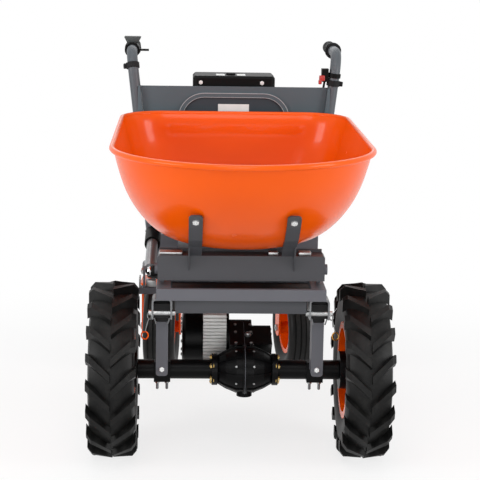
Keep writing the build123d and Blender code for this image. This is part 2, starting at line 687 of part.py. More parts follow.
# Battery case on its tray behind the panel
battery_front = handle_y + panel_plate / 2 + tray_margin
battery_y = (battery_front, battery_front + battery_depth)
tray_x = (-battery_half - tray_margin, battery_half + tray_margin)
tray_y = (handle_y + panel_plate / 2, battery_y[1] + tray_margin)
tray = block(tray_x, tray_y, (battery_bottom - tray_plate, battery_bottom + tray_lip))
tray -= block((-battery_half - seat_gap, battery_half + seat_gap),
              (battery_y[0] - seat_gap, battery_y[1] + seat_gap), (battery_bottom, battery_bottom + tray_lip))
save("battery_tray", tray)
battery = block((-battery_half, battery_half), battery_y, (battery_bottom, battery_split))
battery = fillet(battery.edges().filter_by(Axis.Z), battery_corner)
save("battery_case", battery)
lid = block((-battery_half, battery_half), battery_y, (battery_split, battery_top))
lid = fillet(lid.edges().filter_by(Axis.Z), battery_corner)
lid = chamfer(lid.faces().sort_by(Axis.Z)[-1].edges(), lid_chamfer)
save("battery_lid", lid)

# Controls on the handles
control_ring = ring(handle_radius + control_ring_wall, bore, -display_depth / 2, display_depth / 2)
display = Pos(-handle_top_x, display_y, handle_top_z) * Rot(90, 0, 0) * control_ring
neck_bottom = handle_top_z + handle_radius + control_ring_wall / 2
display_y_limits = (display_y - display_depth / 2, display_y + display_depth / 2)
neck_half = display_neck / 2
display += block((-handle_top_x - neck_half, -handle_top_x + neck_half), display_y_limits, (neck_bottom, display_top))
display += block((-handle_top_x - display_width / 2, -handle_top_x + display_width / 2), display_y_limits,
                 (display_top - display_plate, display_top))
save("display", display)
throttle = Pos(-handle_top_x, throttle_y, handle_top_z) * Rot(90, 0, 0) * control_ring
throttle += block((-handle_top_x + bore + control_ring_wall / 2, -handle_top_x + throttle_reach),
                  (throttle_y - throttle_depth / 2, throttle_y + throttle_depth / 2),
                  (handle_top_z - throttle_plate / 2, handle_top_z + throttle_plate / 2))
save("thumb_throttle", throttle)
switch_right = handle_x(switch_z - switch_height / 2) - handle_radius - seat_gap
switch_x = (switch_right - switch_width, switch_right)
switch_y = (handle_y - switch_depth / 2, handle_y + switch_depth / 2)
switch_z_limits = (switch_z - switch_height / 2, switch_z + switch_height / 2)
save("switch_box", block(switch_x, switch_y, switch_z_limits))
rocker = block((switch_x[0] + rocker_margin, switch_x[1] - rocker_margin),
               (switch_y[0] + rocker_margin, switch_y[1] - rocker_margin),
               (switch_z_limits[1], switch_z_limits[1] + rocker_height))
save("switch_rocker", rocker)

# Cables from the switch and the throttle to the battery case, held behind the panel
def cable(route):
    """Cable along a route with rounded turns."""
    path = FilletPolyline(*route, radius=cable_bend)
    return sweep(Plane(origin=path @ 0, z_dir=path % 0) * Circle(cable_radius), path=path)


cable_y = handle_y + panel_plate / 2 + cable_radius + weld_gap
cable_end = (battery_half + weld_gap, battery_front + battery_depth / 2, panel_top - cable_drop)
cable_turn = (cable_end[0] + cable_side, cable_end[1], cable_end[2])
switch_middle = (switch_x[0] + switch_x[1]) / 2
behind_panel = (switch_middle - cable_lean, cable_y, panel_top - cable_drop / 2)
switch_exit = (switch_middle, cable_y, switch_z_limits[0] - weld_gap)
throttle_exit = (handle_top_x, throttle_y, handle_top_z - handle_radius - control_ring_wall - weld_gap)
throttle_turn = (handle_top_x - cable_radius, throttle_y - cable_lean, throttle_exit[2] - cable_run)
switch_cable = cable([switch_exit, behind_panel, cable_turn, cable_end])
throttle_cable = cable([throttle_exit, throttle_turn, behind_panel, cable_turn, cable_end])
save("control_cables", mirrored(throttle_cable), switch_cable)
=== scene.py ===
import json
import math

import bpy
from mathutils import Matrix, Vector


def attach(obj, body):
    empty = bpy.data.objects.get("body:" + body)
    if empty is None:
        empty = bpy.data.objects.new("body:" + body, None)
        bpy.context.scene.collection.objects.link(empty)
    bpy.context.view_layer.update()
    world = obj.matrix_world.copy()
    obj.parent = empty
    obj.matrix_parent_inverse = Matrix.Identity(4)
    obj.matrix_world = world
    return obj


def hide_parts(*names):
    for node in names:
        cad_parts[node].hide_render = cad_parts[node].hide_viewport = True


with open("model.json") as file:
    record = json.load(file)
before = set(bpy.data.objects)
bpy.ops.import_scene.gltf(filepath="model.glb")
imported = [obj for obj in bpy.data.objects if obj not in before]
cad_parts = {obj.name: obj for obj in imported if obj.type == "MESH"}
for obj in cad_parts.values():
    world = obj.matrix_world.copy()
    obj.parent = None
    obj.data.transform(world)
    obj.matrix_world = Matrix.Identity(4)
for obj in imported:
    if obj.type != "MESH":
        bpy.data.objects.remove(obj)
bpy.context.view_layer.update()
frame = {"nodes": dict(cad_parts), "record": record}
nodes = frame["nodes"]
scene = bpy.context.scene
scene.view_settings.view_transform = "Standard"

# Place of the front axle along the barrow, in millimetres
axle_y = -239.25

# Camera at the photograph's angle: front of the barrow, a little from above and from its left
camera_place = Vector((-0.12704, -3.36303 + axle_y / 1000, 1.20621))
camera_yaw = 0.03757
camera_pitch = 0.20324
camera_roll = 0.0158
camera_lens = 112.5
camera_sensor = 36.0

ahead = math.cos(camera_pitch)
forward = Vector((math.sin(camera_yaw) * ahead, math.cos(camera_yaw) * ahead, -math.sin(camera_pitch)))
level = Vector((math.cos(camera_yaw), -math.sin(camera_yaw), 0.0))
upright = level.cross(forward)
right = math.cos(camera_roll) * level + math.sin(camera_roll) * upright
up = -math.sin(camera_roll) * level + math.cos(camera_roll) * upright
bpy.ops.object.select_all(action="DESELECT")
bpy.ops.object.camera_add()
camera = bpy.context.object
camera.matrix_world = Matrix((
    (right.x, up.x, -forward.x, camera_place.x),
    (right.y, up.y, -forward.y, camera_place.y),
    (right.z, up.z, -forward.z, camera_place.z),
    (0.0, 0.0, 0.0, 1.0),
))
camera.data.lens = camera_lens
camera.data.sensor_width = camera_sensor
scene.camera = camera


# Node trees
def linear(code):
    """Scene colour of a paint given as six hex digits."""
    parts = [int(code[i:i + 2], 16) / 255 for i in (0, 2, 4)]
    return tuple(p / 12.92 if p <= 0.04045 else ((p + 0.055) / 1.055) ** 2.4 for p in parts) + (1.0,)


def add_node(tree, kind, **values):
    """New node with its properties, or its input sockets by name, set."""
    node = tree.nodes.new(kind)
    for key, value in values.items():
        if key in node.inputs:
            node.inputs[key].default_value = value
        else:
            setattr(node, key, value)
    return node


def new_group(name, inputs, outputs):
    """Shader node group with named sockets. An input is (name, kind, start value), an output (name, kind)."""
    group = bpy.data.node_groups.new(name, "ShaderNodeTree")
    for label, kind, value in inputs:
        socket = group.interface.new_socket(label, in_out="INPUT", socket_type=kind)
        socket.default_value = value
    for label, kind in outputs:
        group.interface.new_socket(label, in_out="OUTPUT", socket_type=kind)
    return group, group.nodes.new("NodeGroupInput"), group.nodes.new("NodeGroupOutput")


def mix_by_noise(group, noise, low, high, share, tone, other_tone, result):
    """Mix two colours where noise on Object coordinates passes from a low to a high value, up to a share."""
    place = add_node(group, "ShaderNodeTexCoord")
    edges = add_node(group, "ShaderNodeMapRange", interpolation_type="SMOOTHSTEP")
    edges.inputs["From Min"].default_value = low
    edges.inputs["From Max"].default_value = high
    amount = add_node(group, "ShaderNodeMath", operation="MULTIPLY")
    mix = add_node(group, "ShaderNodeMix", data_type="RGBA")
    link = group.links.new
    link(place.outputs["Object"], noise.inputs["Vector"])
    link(noise.outputs["Fac"], edges.inputs["Value"])
    link(edges.outputs["Result"], amount.inputs[0])
    link(share, amount.inputs[1])
    link(amount.outputs["Value"], mix.inputs["Factor"])
    link(tone, mix.inputs[6])
    link(other_tone, mix.inputs[7])
    link(mix.outputs[2], result)


def uneven_colour_group():
    """Two close tones of one finish in soft patches."""
    group, given, result = new_group(
        "uneven_colour",
        [("Tone", "NodeSocketColor", (0.5, 0.5, 0.5, 1)),
         ("Other Tone", "NodeSocketColor", (0.4, 0.4, 0.4, 1)),
         ("Scale", "NodeSocketFloat", 6.0),
         ("Share", "NodeSocketFloat", 0.5)],
        [("Color", "NodeSocketColor")])
    patches = add_node(group, "ShaderNodeTexNoise", Detail=4.0, Roughness=0.55)
    group.links.new(given.outputs["Scale"], patches.inputs["Scale"])
    mix_by_noise(group, patches, 0.32, 0.68, given.outputs["Share"], given.outputs["Tone"],
                 given.outputs["Other Tone"], result.inputs["Color"])
    return group


def fine_skin_group():
    """Small grain of a coated, cast or moulded surface: a roughness that varies and a height for bump."""
    group, given, result = new_group(
        "fine_skin",
        [("Scale", "NodeSocketFloat", 900.0),
         ("Roughness", "NodeSocketFloat", 0.4),
         ("Spread", "NodeSocketFloat", 0.1)],
        [("Roughness", "NodeSocketFloat"), ("Height", "NodeSocketFloat")])
    place = add_node(group, "ShaderNodeTexCoord")
    grain = add_node(group, "ShaderNodeTexNoise", Detail=3.0, Roughness=0.6)
    clouds = add_node(group, "ShaderNodeTexNoise", Scale=14.0, Detail=3.0)
    centred = add_node(group, "ShaderNodeMath", operation="SUBTRACT")
    centred.inputs[1].default_value = 0.5
    swing = add_node(group, "ShaderNodeMath", operation="MULTIPLY")
    total = add_node(group, "ShaderNodeMath", operation="ADD", use_clamp=True)
    link = group.links.new
    link(place.outputs["Object"], grain.inputs["Vector"])
    link(place.outputs["Object"], clouds.inputs["Vector"])
    link(given.outputs["Scale"], grain.inputs["Scale"])
    link(clouds.outputs["Fac"], centred.inputs[0])
    link(centred.outputs["Value"], swing.inputs[0])
    link(given.outputs["Spread"], swing.inputs[1])
    link(given.outputs["Roughness"], total.inputs[0])
    link(swing.outputs["Value"], total.inputs[1])
    link(total.outputs["Value"], result.inputs["Roughness"])
    link(grain.outputs["Fac"], result.inputs["Height"])
    return group


def dust_specks_group():
    """Dust in fine specks on what runs on the ground."""
    group, given, result = new_group(
        "dust_specks",
        [("Color", "NodeSocketColor", (0.02, 0.02, 0.02, 1)),
         ("Dust", "NodeSocketColor", (0.2, 0.19, 0.17, 1)),
         ("Amount", "NodeSocketFloat", 0.2)],
        [("Color", "NodeSocketColor")])
    specks = add_node(group, "ShaderNodeTexNoise", Scale=55.0, Detail=6.0, Roughness=0.7)
    mix_by_noise(group, specks, 0.45, 0.75, given.outputs["Amount"], given.outputs["Color"],
                 given.outputs["Dust"], result.inputs["Color"])
    return group


uneven_colour = uneven_colour_group()
fine_skin = fine_skin_group()
dust_specks = dust_specks_group()


def finish(name, tone, other_tone, patch_scale=5.0, patch_share=0.6, grain_scale=900.0, roughness=0.4,
           spread=0.1, bump=0.1, bump_depth=0.0004, metallic=0.0, sheen_level=0.5, coat=0.0,
           coat_roughness=0.2, dust=0.0):
    """Procedural material from the shared groups. Tones are hex codes."""
    made = bpy.data.materials.new(name)
    made.use_nodes = True
    tree = made.node_tree
    shader = tree.nodes["Principled BSDF"]
    shader.inputs["Metallic"].default_value = metallic
    shader.inputs["Specular IOR Level"].default_value = sheen_level
    shader.inputs["Coat Weight"].default_value = coat
    shader.inputs["Coat Roughness"].default_value = coat_roughness
    colour = add_node(tree, "ShaderNodeGroup", node_tree=uneven_colour)
    colour.inputs["Tone"].default_value = linear(tone)
    colour.inputs["Other Tone"].default_value = linear(other_tone)
    colour.inputs["Scale"].default_value = patch_scale
    colour.inputs["Share"].default_value = patch_share
    skin = add_node(tree, "ShaderNodeGroup", node_tree=fine_skin)
    skin.inputs["Scale"].default_value = grain_scale
    skin.inputs["Roughness"].default_value = roughness
    skin.inputs["Spread"].default_value = spread
    relief = add_node(tree, "ShaderNodeBump", Strength=bump, Distance=bump_depth)
    link = tree.links.new
    last = colour.outputs["Color"]
    if dust:
        film = add_node(tree, "ShaderNodeGroup", node_tree=dust_specks)
        film.inputs["Amount"].default_value = dust
        link(last, film.inputs["Color"])
        last = film.outputs["Color"]
    link(last, shader.inputs["Base Color"])
    link(skin.outputs["Roughness"], shader.inputs["Roughness"])
    link(skin.outputs["Height"], relief.inputs["Height"])
    link(relief.outputs["Normal"], shader.inputs["Normal"])
    return made


# Painted finishes, with greys that stand for painted shade and painted highlight
coated = {"grain_scale": 1400.0, "spread": 0.08, "bump": 0.12, "bump_depth": 0.0003}
orange_gloss = finish("orange_gloss_coat", "EE5A02", "E75400", patch_scale=3.0, grain_scale=260.0,
                      roughness=0.26, spread=0.06, bump=0.05, bump_depth=0.0006, sheen_level=0.14,
                      coat=0.14, coat_roughness=0.08)
frame_grey = finish("frame_grey_coat", "5C5D63", "56575D", patch_scale=6.0, roughness=0.46,
                    sheen_level=0.3, **coated)
panel_grey = finish("panel_grey_coat", "4E5A60", "49555B", patch_scale=5.0, roughness=0.46,
                    sheen_level=0.3, **coated)
handle_grey = finish("handle_grey_coat", "52575C", "4D5257", patch_scale=6.0, roughness=0.44,
                     sheen_level=0.35, **coated)
# Darker grey for the tub straps, cradle panel and lower member: painted shade under the tub
painted_shade_grey = finish("painted_shade_grey_coat", "434448", "3F4044", patch_scale=6.0, roughness=0.46,
                    sheen_level=0.3, **coated)
# Dark, cool grey for the plate in the arch: painted shade in the recess
painted_shade_recess_grey = finish("painted_shade_recess_grey_coat", "343D43", "30393F", patch_scale=5.0, roughness=0.5,
                     sheen_level=0.25, **coated)
# Light grey for the wires round the arch: painted highlight on the arch's edges
painted_highlight_grey = finish("painted_highlight_grey_coat", "A3A6A9", "9A9DA0", patch_scale=20.0, grain_scale=1400.0,
                   roughness=0.40, spread=0.08, bump=0.08, bump_depth=0.0002, sheen_level=0.35)
axle_black = finish("axle_black_coat", "060607", "0A0A0B", patch_scale=9.0, grain_scale=700.0,
                    roughness=0.36, spread=0.15, bump=0.15, bump_depth=0.0004, sheen_level=0.09)
pale_enamel = finish("pale_enamel", "DADBD9", "CFD0CE", patch_scale=25.0, grain_scale=1500.0,
                     roughness=0.38, spread=0.1, bump=0.08, bump_depth=0.0002, sheen_level=0.3)

# Bare, plated and cast metal
plated = {"grain_scale": 1500.0, "bump_depth": 0.0002}
zinc = finish("zinc_plate", "A9AAAA", "8C8D8E", patch_scale=60.0, roughness=0.32, spread=0.15,
              bump=0.05, metallic=0.9, **plated)
yellow_zinc = finish("yellow_zinc_plate", "C9A75A", "B9B08E", patch_scale=90.0, roughness=0.34,
                     spread=0.15, bump=0.05, metallic=0.85, **plated)
bright_zinc = finish("bright_zinc_plate", "E4E5E5", "CFD0D0", patch_scale=70.0, roughness=0.24,
                     spread=0.12, bump=0.05, metallic=0.7, **plated)
dull_zinc = finish("dull_zinc_plate", "77787A", "636466", patch_scale=50.0, roughness=0.42,
                   spread=0.15, bump=0.06, metallic=0.8, **plated)
brass = finish("brass", "C08A3E", "AE7A34", patch_scale=80.0, roughness=0.30, spread=0.12,
               bump=0.05, metallic=0.9, **plated)
# Near-white tone of the motor castings: silver metal, lifted towards white as painted light on fins that sit
# under the tub
cast_silver_painted_light = finish("cast_silver_painted_light", "F6F6F4", "ECECEA", patch_scale=18.0, grain_scale=1100.0,
                     roughness=0.38, spread=0.12, bump=0.12, bump_depth=0.0003)
barrel_grey = finish("barrel_grey", "85888B", "797C80", patch_scale=20.0, grain_scale=1200.0,
                     roughness=0.34, spread=0.1, bump=0.06, bump_depth=0.0002, metallic=0.4)
rod_chrome = finish("rod_chrome", "DCDDDD", "D2D3D4", patch_scale=12.0, grain_scale=2200.0,
                    roughness=0.16, spread=0.06, bump=0.02, bump_depth=0.0001, metallic=1.0)

# Rubber, plastic and glass
moulded = {"grain_scale": 1800.0, "spread": 0.1, "bump": 0.2, "bump_depth": 0.0002}
tyre_rubber = finish("tyre_rubber", "0A0A0A", "0F0F0E", patch_scale=14.0, grain_scale=600.0,
                     roughness=0.50, spread=0.2, bump=0.25, bump_depth=0.0005, sheen_level=0.2, dust=0.04)
grip_rubber = finish("grip_rubber", "151516", "101011", patch_scale=20.0, grain_scale=1600.0,
                     roughness=0.62, spread=0.15, bump=0.3, bump_depth=0.0003, sheen_level=0.2)
black_plastic = finish("black_moulded_plastic", "090909", "0D0D0D", patch_scale=12.0, roughness=0.50,
                       sheen_level=0.09, **moulded)
screen_grey = finish("display_grey_plastic", "464949", "3F4242", patch_scale=16.0, roughness=0.52,
                     sheen_level=0.25, **moulded)
red_plastic = finish("red_moulded_plastic", "A92A24", "9C2420", patch_scale=30.0, grain_scale=1500.0,
                     roughness=0.35, spread=0.1, bump=0.1, bump_depth=0.0002)
screen_glass = finish("screen_glass", "0A0D10", "0C1013", patch_scale=30.0, grain_scale=2400.0,
                      roughness=0.10, spread=0.03, bump=0.01, bump_depth=0.0001, coat=0.3,
                      coat_roughness=0.05)

# Finish of each material slot of the part, and of the nodes that have their own
slot_finish = {
    "orange_paint": orange_gloss,
    "frame_grey": frame_grey,
    "axle_black": axle_black,
    "motor_silver": cast_silver_painted_light,
    "zinc": zinc,
    "tyre": tyre_rubber,
    "rubber": grip_rubber,
    "black_plastic": black_plastic,
    "red_plastic": red_plastic,
    "rod_chrome": rod_chrome,
}
own_finish = {
    "rear_panel": panel_grey,
    "handle_left": handle_grey,
    "handle_right": handle_grey,
    # Straps and cradle panel take the darker grey as painted shade under the tub
    "tub_straps": painted_shade_grey,
    "cradle_panel": painted_shade_grey,
    "actuator_barrel": barrel_grey,
    "clevis_left": dull_zinc,
    "clevis_right": dull_zinc,
}
for subpart in frame["record"]["subparts"]:
    node = subpart["node"]
    mesh = nodes[node].data
    mesh.materials.clear()
    mesh.materials.append(own_finish.get(node, slot_finish[subpart["material_slot"]]))

# Rounded edges on folded, cast and moulded parts that are sharp in the CAD: radius in millimetres
edge_radius = {
    "rear_panel": 1.6,
    "front_crossmember": 1.6,
    "cradle_panel": 1.6,
    "axle_leg_left": 1.8,
    "axle_leg_right": 1.8,
    "tub_straps": 0.8,
    "gearbox": 2.5,
    "rear_platform": 1.6,
    "frame_rail_left": 2.0,
    "frame_rail_right": 2.0,
    "battery_case": 2.5,
}
for node, radius in edge_radius.items():
    weld = nodes[node].modifiers.new("weld", "WELD")
    weld.merge_threshold = 0.00002
    bevel = nodes[node].modifiers.new("edge", "BEVEL")
    bevel.width = radius / 1000
    bevel.segments = 2
    bevel.limit_method = "ANGLE"
    bevel.angle_limit = math.radians(40)


# Floor, background and lamps: reach in metres from the middle, and the share of white under the barrow
shadow_reach = 0.7
white_reach = 1.6
shadow_white = 0.76
floor_bounce_tone = (0.72, 0.72, 0.72, 1)
floor_seen_tone = (0.95, 0.95, 0.95, 1)


def background_rays(tree):
    """Socket that is 1 for rays that show the background: from the camera, off gloss and through glass."""
    rays = add_node(tree, "ShaderNodeLightPath")
    seen = add_node(tree, "ShaderNodeMath", operation="MAXIMUM")
    seen_through = add_node(tree, "ShaderNodeMath", operation="MAXIMUM")
    tree.links.new(rays.outputs["Is Camera Ray"], seen.inputs[0])
    tree.links.new(rays.outputs["Is Glossy Ray"], seen.inputs[1])
    tree.links.new(seen.outputs["Value"], seen_through.inputs[0])
    tree.links.new(rays.outputs["Is Transmission Ray"], seen_through.inputs[1])
    return seen_through.outputs["Value"]


def floor_material():
    """Pale floor that keeps the shadow near the barrow and turns to plain white further out."""
    made = bpy.data.materials.new("pale_floor")
    made.use_nodes = True
    tree = made.node_tree
    tree.nodes.clear()
    place = add_node(tree, "ShaderNodeTexCoord")
    reach = add_node(tree, "ShaderNodeVectorMath", operation="LENGTH")
    fade = add_node(tree, "ShaderNodeMapRange", interpolation_type="SMOOTHSTEP")
    fade.inputs["From Min"].default_value = shadow_reach
    fade.inputs["From Max"].default_value = white_reach
    fade.inputs["To Min"].default_value = shadow_white
    shown = add_node(tree, "ShaderNodeMath", operation="MULTIPLY")
    tone = add_node(tree, "ShaderNodeMix", data_type="RGBA")
    tone.inputs[6].default_value = floor_bounce_tone
    tone.inputs[7].default_value = floor_seen_tone
    pale = add_node(tree, "ShaderNodeBsdfDiffuse")
    white = add_node(tree, "ShaderNodeEmission")
    mix = add_node(tree, "ShaderNodeMixShader")
    result = add_node(tree, "ShaderNodeOutputMaterial")
    seen = background_rays(tree)
    tree.links.new(place.outputs["Object"], reach.inputs[0])
    tree.links.new(reach.outputs["Value"], fade.inputs["Value"])
    tree.links.new(fade.outputs["Result"], shown.inputs[0])
    tree.links.new(seen, shown.inputs[1])
    tree.links.new(seen, tone.inputs["Factor"])
    tree.links.new(tone.outputs[2], pale.inputs["Color"])
    tree.links.new(shown.outputs["Value"], mix.inputs[0])
    tree.links.new(pale.outputs["BSDF"], mix.inputs[1])
    tree.links.new(white.outputs["Emission"], mix.inputs[2])
    tree.links.new(mix.outputs["Shader"], result.inputs["Surface"])
    return made


bpy.ops.mesh.primitive_circle_add(vertices=64, radius=9.0, fill_type="NGON", location=(0, 0, -0.0005))
floor = bpy.context.object
floor.name = "floor"
bpy.ops.object.transform_apply(location=True)
floor.data.materials.append(floor_material())

world = bpy.data.worlds.new("studio")
scene.world = world
world.use_nodes = True
sky = world.node_tree
sky.nodes.clear()
fill_light = add_node(sky, "ShaderNodeBackground", Color=(1, 1, 1, 1), Strength=0.45)
white_back = add_node(sky, "ShaderNodeBackground", Color=(1, 1, 1, 1), Strength=1.0)
sky_mix = add_node(sky, "ShaderNodeMixShader")
sky_result = add_node(sky, "ShaderNodeOutputWorld")
sky.links.new(background_rays(sky), sky_mix.inputs[0])
sky.links.new(fill_light.outputs["Background"], sky_mix.inputs[1])
sky.links.new(white_back.outputs["Background"], sky_mix.inputs[2])
sky.links.new(sky_mix.outputs["Shader"], sky_result.inputs["Surface"])

# Each lamp: name, place, point that it faces, size, power
lamps = [
    ("key_softbox", (-0.3, -2.2, 2.9), (0.0, -0.2, 0.45), 1.5, 29.0),
    ("top_softbox", (0.0, 0.2, 3.2), (0.0, 0.1, 0.4), 2.2, 9.0),
    ("left_softbox", (-3.0, -1.6, 1.2), (0.0, 0.0, 0.5), 1.4, 54.0),
    ("right_softbox", (3.0, -1.6, 1.2), (0.0, 0.0, 0.5), 1.4, 54.0),
    ("rear_softbox", (0.0, 2.8, 2.2), (0.0, 0.0, 0.5), 1.8, 14.0),
    ("front_softbox", (-0.2, -3.4, 0.45), (0.0, 0.0, 0.36), 1.2, 15.0),
]
for name, place, aim, size, power in lamps:
    bpy.ops.object.light_add(type="AREA", location=place)
    lamp = bpy.context.object
    lamp.name = name
    lamp.data.size = size
    lamp.data.energy = power
    lamp.rotation_euler = (Vector(aim) - Vector(place)).to_track_quat("-Z", "Y").to_euler()


# Modelling by hand
def deselect():
    """Object mode with nothing selected."""
    if bpy.context.object and bpy.context.object.mode != "OBJECT":
        bpy.ops.object.mode_set(mode="OBJECT")
    bpy.ops.object.select_all(action="DESELECT")


def only(piece):
    """Make one piece the only selected and active one."""
    deselect()
    piece.select_set(True)
    bpy.context.view_layer.objects.active = piece


def pick(piece, test):
    """Enter edit mode with the faces selected whose centre and normal pass a test."""
    only(piece)
    bpy.ops.object.mode_set(mode="EDIT")
    bpy.ops.mesh.select_mode(type="FACE")
    bpy.ops.mesh.select_all(action="DESELECT")
    bpy.ops.object.mode_set(mode="OBJECT")
    for face in piece.data.polygons:
        face.select = bool(test(face.center, face.normal))
    bpy.ops.object.mode_set(mode="EDIT")


def apply_place(piece):
    """Put a piece's place, turn and scale into its mesh."""
    only(piece)
    bpy.ops.object.transform_apply(location=True, rotation=True, scale=True)


def join(parts):
    """One object of several."""
    if len(parts) == 1:
        return parts[0]
    deselect()
    for part in parts:
        part.select_set(True)
    bpy.context.view_layer.objects.active = parts[0]
    bpy.ops.object.join()
    return bpy.context.object


def settle(piece, name, body, finish_used, angle=35.0):
    """Finished piece: placed in its mesh, shaded, named and set on its body."""
    apply_place(piece)
    bpy.ops.object.shade_smooth_by_angle(angle=math.radians(angle))
    piece.name = piece.data.name = name
    piece.data.materials.clear()
    piece.data.materials.append(finish_used)
    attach(piece, body)
    return piece


def at(x, y, z):
    """Place in the barrow's frame from millimetres, y counted from the front axle."""
    return Vector((x, y + axle_y, z)) / 1000


def spun(profile, steps=64):
    """Ring about Z: a closed profile of (radius, height) in millimetres, spun all the way round."""
    bpy.ops.mesh.primitive_circle_add(vertices=len(profile), radius=0.01, fill_type="NOTHING")
    piece = bpy.context.object
    for vertex, (radius, height) in zip(piece.data.vertices, profile):
        vertex.co = Vector((radius, 0, height)) / 1000
    bpy.ops.object.mode_set(mode="EDIT")
    bpy.ops.mesh.select_all(action="SELECT")
    bpy.ops.mesh.spin(steps=steps, angle=2 * math.pi, center=(0, 0, 0), axis=(0, 0, 1))
    bpy.ops.mesh.select_all(action="SELECT")
    bpy.ops.mesh.remove_doubles(threshold=0.00001)
    bpy.ops.mesh.normals_make_consistent(inside=False)
    bpy.ops.object.mode_set(mode="OBJECT")
    return piece


def turned(profile, vertices=40):
    """Solid about Z: a disc extruded and resized from ring to ring, each (radius, height) in millimetres."""
    (radius, height), *rest = profile
    bpy.ops.mesh.primitive_circle_add(vertices=vertices, radius=radius / 1000, fill_type="NGON",
                                      location=(0, 0, height / 1000))
    piece = bpy.context.object
    bpy.ops.object.mode_set(mode="EDIT")
    bpy.ops.mesh.select_all(action="SELECT")
    for next_radius, next_height in rest:
        rise = (next_height - height) / 1000
        bpy.ops.mesh.extrude_region_move(TRANSFORM_OT_translate={"value": (0, 0, rise)})
        bpy.ops.transform.resize(value=(next_radius / radius, next_radius / radius, 1))
        radius = next_radius
        height = next_height
    bpy.ops.mesh.select_all(action="SELECT")
    bpy.ops.mesh.normals_make_consistent(inside=False)
    bpy.ops.object.mode_set(mode="OBJECT")
    return piece


def slab(size, bevel, segments=3):
    """Block about the origin with rounded edges, its size in millimetres."""
    bpy.ops.mesh.primitive_cube_add(size=1)
    piece = bpy.context.object
    piece.scale = Vector(size) / 1000
    bpy.ops.object.transform_apply(location=True, rotation=True, scale=True)
    bpy.ops.object.mode_set(mode="EDIT")
    bpy.ops.mesh.select_all(action="SELECT")
    bpy.ops.mesh.bevel(offset=bevel / 1000, segments=segments, affect="EDGES")
    bpy.ops.object.mode_set(mode="OBJECT")
    return piece


def put(piece, place, facing=(0, 0, 1)):
    """Stand a piece built on Z at a place, its Z towards a direction."""
    facing_turn = Vector(facing).to_track_quat("Z", "Y").to_matrix().to_4x4()
    piece.matrix_world = Matrix.Translation(place) @ facing_turn
    apply_place(piece)
    return piece


def copies(master, spots):
    """Copies of a piece, each with its own mesh, at places and directions; the first one is used up."""
    made = []
    for place, facing in spots:
        copy = master.copy()
        copy.data = master.data.copy()
        scene.collection.objects.link(copy)
        made.append(put(copy, place, facing))
    bpy.data.objects.remove(master)
    return made


def hex_head(across, height):
    """Bolt head on Z = 0 over a washer, with a turned-down top and a short thread end. Millimetres."""
    radius = across / math.sqrt(3)
    middle = height * 0.7
    thread_end = height * 0.18
    bpy.ops.mesh.primitive_cylinder_add(vertices=6, radius=radius / 1000, depth=height / 1000,
                                        location=(0, 0, middle / 1000))
    head = bpy.context.object
    pick(head, lambda centre, normal: normal.z > 0.9)
    bpy.ops.mesh.inset(thickness=radius * 0.12 / 1000, depth=radius * 0.10 / 1000)
    bpy.ops.mesh.inset(thickness=radius * 0.42 / 1000, depth=0)
    bpy.ops.mesh.extrude_region_move(TRANSFORM_OT_translate={"value": (0, 0, thread_end / 1000)})
    bpy.ops.object.mode_set(mode="OBJECT")
    washer = turned([(radius * 1.45, 0), (radius * 1.5, height * 0.05), (radius * 1.5, height * 0.18),
                     (radius * 1.4, height * 0.24)], vertices=24)
    return join([head, washer])


def bolts(name, body, finish_used, across, height, spots):
    """Like bolts on one body. Each spot is a place and the direction that the head faces."""
    settle(join(copies(hex_head(across, height), spots)), name, body, finish_used)


def circle_spots(centre, axis, radius, count, start=0.0):
    """Places on a circle about an axis along X, and the axis as their direction."""
    spots = []
    for number in range(count):
        angle = math.radians(start + 360 * number / count)
        offset = Vector((0, math.cos(angle), math.sin(angle))) * radius / 1000
        spots.append((centre + offset, axis))
    return spots


def wire_ring(radius, thickness):
    """Ring of round wire about Z."""
    angles = [2 * math.pi * number / 10 for number in range(10)]
    return spun([(radius + thickness * math.cos(a), thickness * math.sin(a)) for a in angles], 32)


def wire(start, end, thickness):
    """Straight wire with rounded ends."""
    length = (end - start).length * 1000
    line = [(thickness * 0.6, 0), (thickness, thickness * 0.5), (thickness, length - thickness * 0.5),
            (thickness * 0.6, length)]
    return put(turned(line, 12), start, end - start)


def bead(half, low, high, corner, y, thickness):
    """Wires end to end round a rounded rectangle that faces the front."""
    steps = 10
    points = []
    corners = ((half - corner, high - corner), (corner - half, high - corner),
               (corner - half, low + corner), (half - corner, low + corner))
    for quarter, (across, middle) in enumerate(corners):
        for number in range(steps + 1):
            angle = math.radians(90 * quarter + 90 * number / steps)
            points.append(at(across + corner * math.cos(angle), y, middle + corner * math.sin(angle)))
    return join([wire(start, end, thickness) for start, end in zip(points, points[1:] + points[:1])])


front = (0, -1, 0)
back = (0, 1, 0)
leftward = (-1, 0, 0)
rightward = (1, 0, 0)
above = (0, 0, 1)
below = (0, 0, -1)
sides = (("left", -1), ("right", 1))

# Places in the part that several pieces are set out from, in millimetres
axle_z = 205
casting_seam_x = 14.5
leg_x = 177
wheel_face_x = 303
hub_face_x = 323
motor_x = -54.5
motor_y = 120
motor_z = 251
actuator_bolt_x = -226
rod_eye_y = 150
rod_eye_z = 404
caster_x = 192
caster_y = 640
caster_axle_z = 125
caster_bearing_z = 284
caster_plate_z = 308
caster_trail = 45
handle_x = 271
handle_z = 891
display_y = 700
battery_back = 731.6
socket_z = 748

# The gear case's top slopes up to the rear
slope_up = (0, -0.247, 0.969)
slope_start = 262.8
slope_rise = 0.2537

